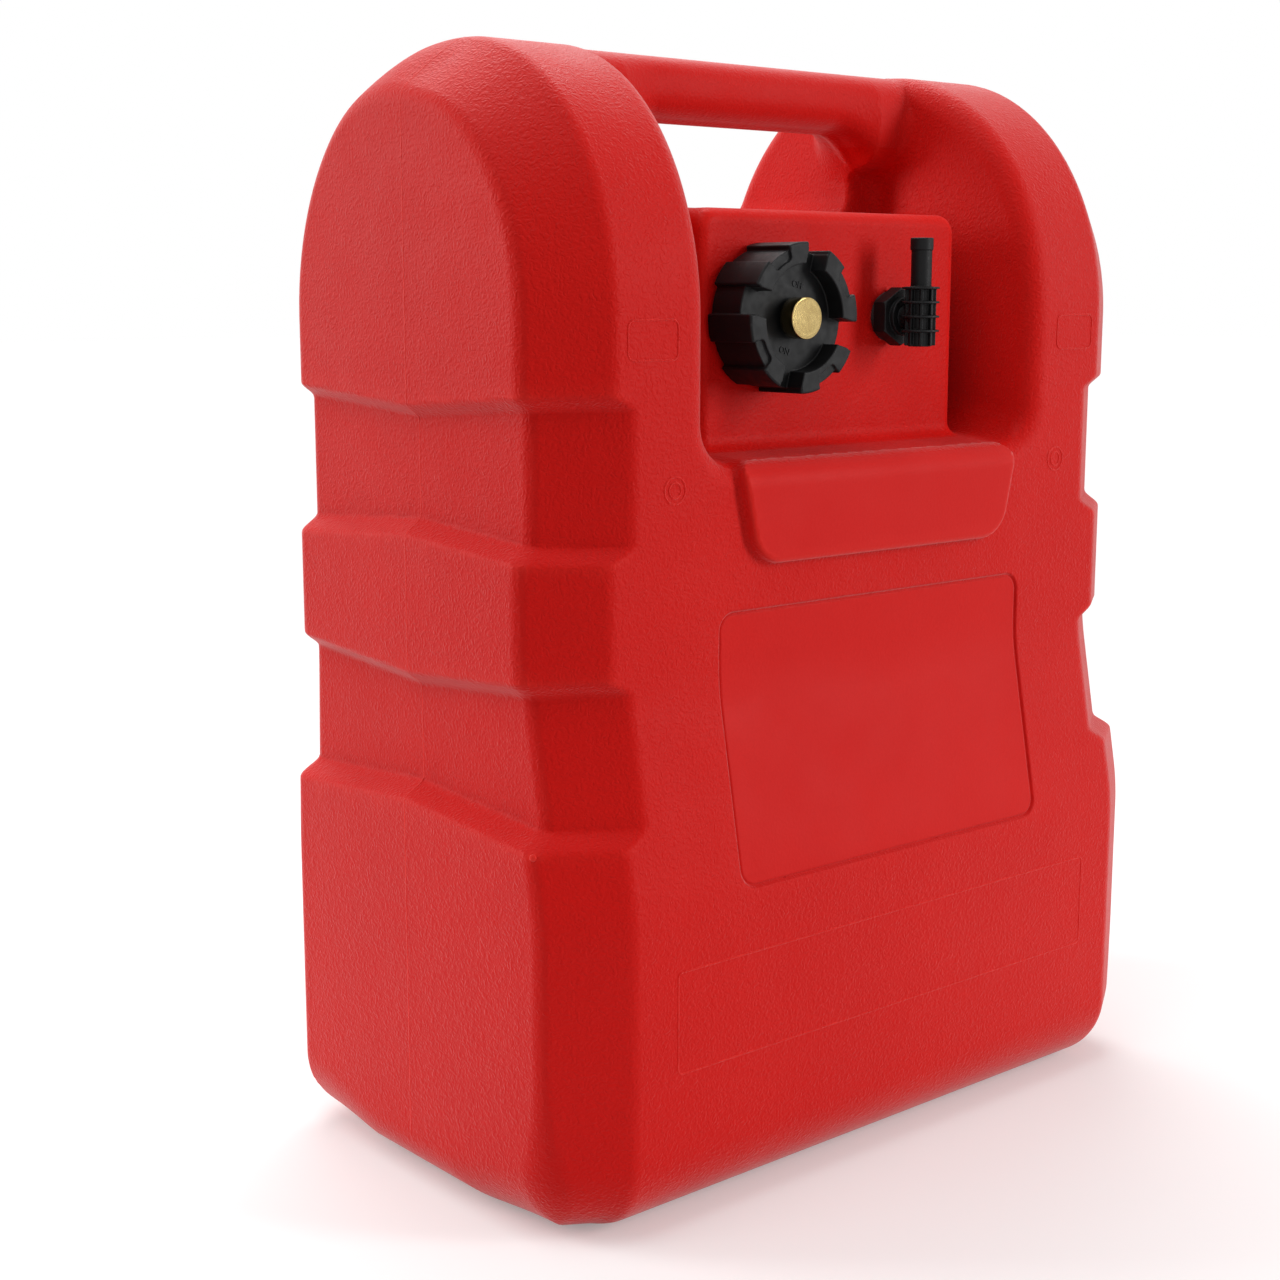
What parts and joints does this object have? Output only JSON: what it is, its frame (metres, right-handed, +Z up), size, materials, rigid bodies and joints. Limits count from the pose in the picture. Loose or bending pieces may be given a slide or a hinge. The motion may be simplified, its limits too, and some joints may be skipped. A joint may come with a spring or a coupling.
{
  "type": "outboard fuel tank",
  "caption": "Upright moulded fuel can with a carrying handle between rounded shoulders, a vented screw cap and a ribbed hose elbow.",
  "frame": {"origin": "on the floor, under the middle of the can", "axes": "+Z up, -Y towards the front with the cap and the outlet, +X to the right when the front is looked at"},
  "size_m": [0.385, 0.2202, 0.498],
  "materials": {
    "red_plastic": "satin, leather grain",
    "black_plastic": "satin",
    "white_plastic": "satin",
    "rubber": "matt",
    "brass": "turned",
    "steel": "plain"
  },
  "bodies": {
    "tank": {"tank_shell": "red_plastic", "outlet_elbow": "black_plastic", "outlet_gasket": "rubber", "pickup_tube": "rubber", "pickup_clip": "steel", "strainer_clip": "steel", "strainer_body": "white_plastic", "strainer_screen": "steel", "strainer_weight": "steel"},
    "cap_seal": {"cap_gasket": "rubber"},
    "cap_disc": {"cap_liner": "white_plastic"},
    "cap": {"filler_cap": "black_plastic", "vent_bush": "brass"},
    "vent_seal": {"vent_oring": "rubber"},
    "vent": {"vent_screw": "brass", "vent_circlip": "steel"}
  },
  "joints": [
    {"name": "cap_lift", "type": "slide", "parent": "tank", "child": "cap_seal", "axis": [0, -1, 0], "range_m": [0, 0.06]},
    {"name": "cap_travel", "type": "slide", "parent": "cap_seal", "child": "cap_disc", "axis": [0, -1, 0], "range_m": [0, 0.01125]},
    {"name": "cap_turn", "type": "hinge", "parent": "cap_disc", "child": "cap", "pos_m": [-0.047, -0.08, 0.3815], "axis": [0, -1, 0], "range_deg": [0, 810]},
    {"name": "vent_travel", "type": "slide", "parent": "cap", "child": "vent_seal", "axis": [0, -1, 0], "range_m": [0, 0.0015]},
    {"name": "vent_turn", "type": "hinge", "parent": "vent_seal", "child": "vent", "pos_m": [-0.047, -0.09, 0.3815], "axis": [0, -1, 0], "range_deg": [0, 360]}
  ],
  "couplings": [
    {"joint": "cap_turn", "follows": "cap_travel", "rad_per_m": 1256.6},
    {"joint": "vent_turn", "follows": "vent_travel", "rad_per_m": 4188.8}
  ]
}
